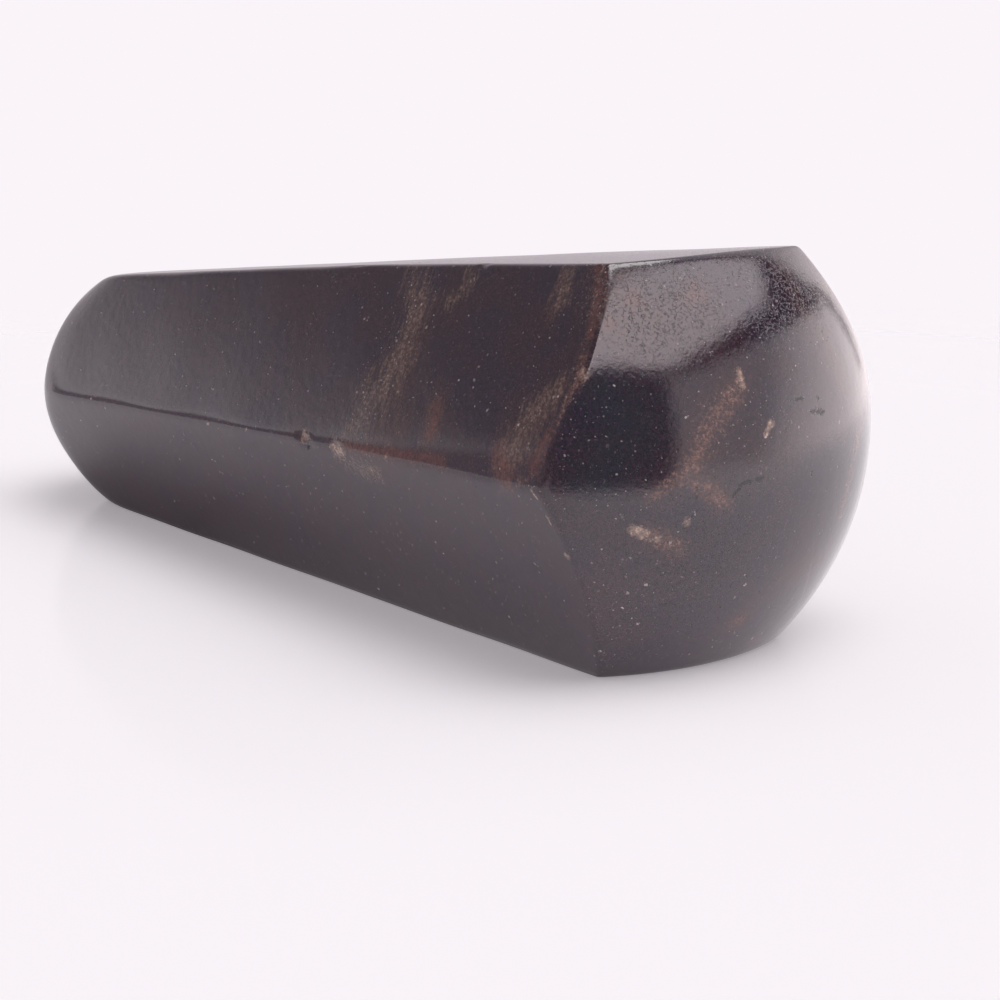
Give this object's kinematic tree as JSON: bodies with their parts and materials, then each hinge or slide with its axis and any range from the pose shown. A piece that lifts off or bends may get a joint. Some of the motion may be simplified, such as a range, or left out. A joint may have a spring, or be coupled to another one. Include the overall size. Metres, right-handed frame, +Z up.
{
  "type": "polished ruby wand",
  "caption": "Tapered, hand-cut and polished wand of opaque dark ruby with long flats, a broad domed end and a small rounded end, lying on a flat.",
  "frame": {"origin": "middle of the bounding box's underside, on the resting flat", "axes": "+Z up from the resting flat, +X along the wand towards its broad domed end, -Y towards the flats that the picture shows"},
  "size_m": [0.08, 0.0286, 0.0257],
  "materials": {
    "polished_ruby": "polished opaque dark ruby with fine red-brown and tan veins"
  },
  "bodies": {
    "root": {"ruby_wand": "polished_ruby"}
  },
  "joints": []
}
